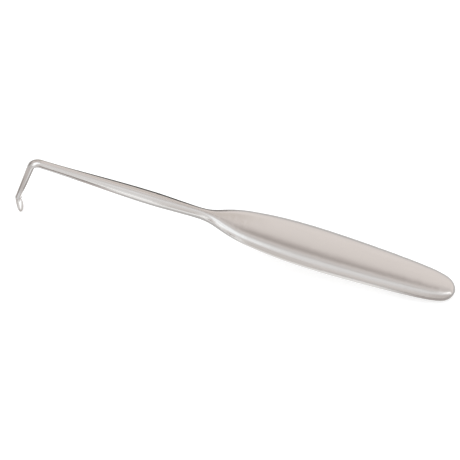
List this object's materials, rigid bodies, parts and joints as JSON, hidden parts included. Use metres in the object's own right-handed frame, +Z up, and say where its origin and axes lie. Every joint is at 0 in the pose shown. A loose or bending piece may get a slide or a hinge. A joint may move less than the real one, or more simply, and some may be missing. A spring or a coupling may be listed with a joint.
{
  "type": "handheld surgical retractor",
  "caption": "Hand-held surgical retractor: flat leaf-shaped handle, slender round shaft and a right-angled hook ending in a small flattened, turned-in lip.",
  "frame": {"origin": "bottom centre of the bounding box, as the instrument lies at rest on the lip's tip and the underside of the handle's round end", "axes": "+X from the hook to the handle's round end, level with the surface it lies on; +Z up; +Y across the handle, away from the side the picture shows"},
  "size_m": [0.2044, 0.0242, 0.0349],
  "materials": {
    "satin_steel": "satin stainless steel, finely brushed along the instrument"
  },
  "bodies": {
    "root": {"retractor": "satin_steel"}
  },
  "joints": []
}
